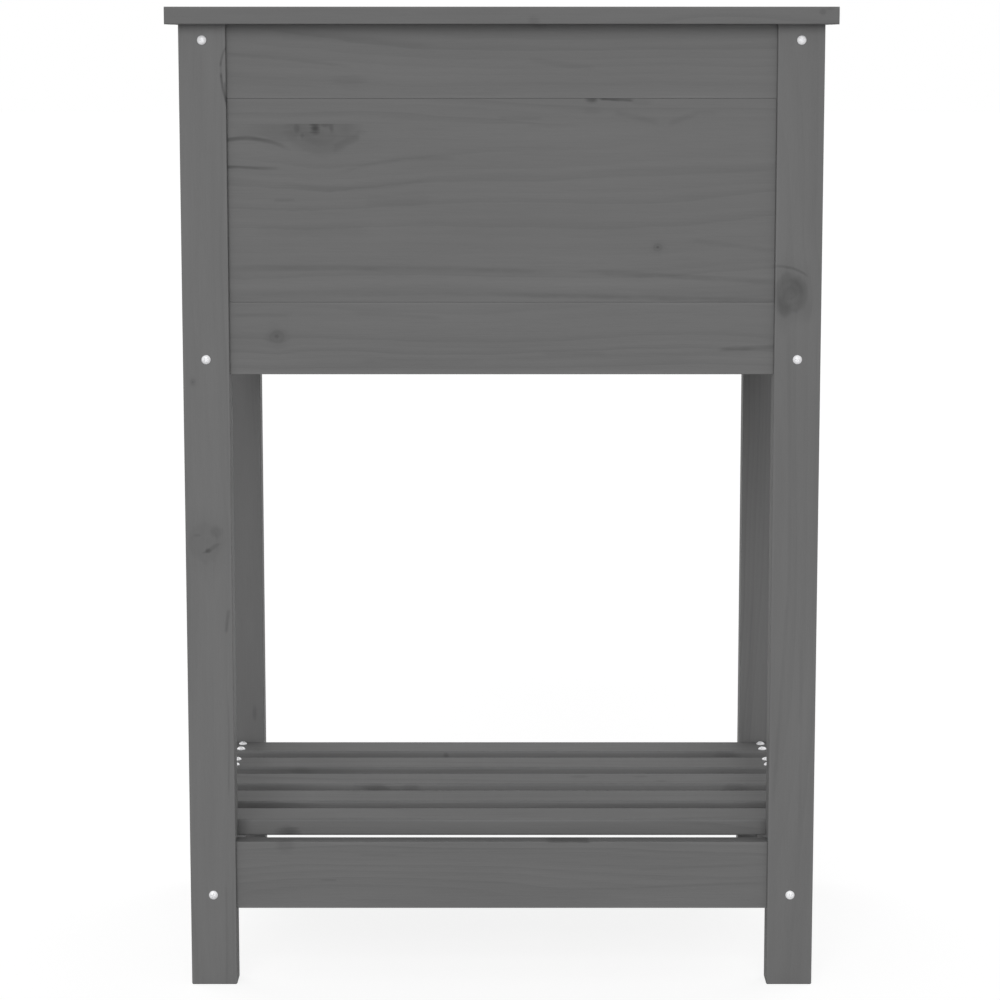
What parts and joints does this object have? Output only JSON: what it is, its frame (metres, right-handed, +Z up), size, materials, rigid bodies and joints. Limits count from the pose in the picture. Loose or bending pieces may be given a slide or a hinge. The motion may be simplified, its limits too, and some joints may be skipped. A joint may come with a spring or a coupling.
{
  "type": "raised garden bed",
  "caption": "Raised garden bed: a rectangular planting box of grey stained pine on square-cut legs, with an overhanging rim, a slatted drainage floor and a slatted shelf below.",
  "frame": {"origin": "on the ground, at the middle of the footprint", "axes": "+Z up, +X to the right as seen from the front, +Y to the rear, so the front faces -Y"},
  "size_m": [0.54, 0.345, 0.812],
  "materials": {
    "stained_pine": "matt grey stain",
    "zinc_steel": "bright zinc",
    "dowel_wood": "bare beech"
  },
  "bodies": {
    "root": {"floor_screws": "zinc_steel", "floor_slat_1": "stained_pine", "floor_slat_2": "stained_pine", "floor_slat_3": "stained_pine", "floor_slat_4": "stained_pine", "floor_slat_5": "stained_pine", "floor_slat_6": "stained_pine", "floor_slat_7": "stained_pine", "front_bottom_rail": "stained_pine", "front_floor_ledger": "stained_pine", "front_frame_dowels": "dowel_wood", "front_left_leg": "stained_pine", "front_panel": "stained_pine", "front_right_leg": "stained_pine", "front_stretcher": "stained_pine", "front_top_rail": "stained_pine", "ledger_screws": "zinc_steel", "left_bottom_rail": "stained_pine", "left_panel": "stained_pine", "left_stretcher": "stained_pine", "left_top_rail": "stained_pine", "leg_screws": "zinc_steel", "rear_bottom_rail": "stained_pine", "rear_floor_ledger": "stained_pine", "rear_frame_dowels": "dowel_wood", "rear_left_leg": "stained_pine", "rear_panel": "stained_pine", "rear_right_leg": "stained_pine", "rear_stretcher": "stained_pine", "rear_top_rail": "stained_pine", "right_bottom_rail": "stained_pine", "right_panel": "stained_pine", "right_stretcher": "stained_pine", "right_top_rail": "stained_pine", "rim_front": "stained_pine", "rim_left": "stained_pine", "rim_rear": "stained_pine", "rim_right": "stained_pine", "rim_screws": "zinc_steel", "shelf_screws": "zinc_steel", "shelf_slat_1": "stained_pine", "shelf_slat_2": "stained_pine", "shelf_slat_3": "stained_pine", "shelf_slat_4": "stained_pine", "shelf_slat_5": "stained_pine", "stretcher_dowels": "dowel_wood"}
  },
  "joints": []
}
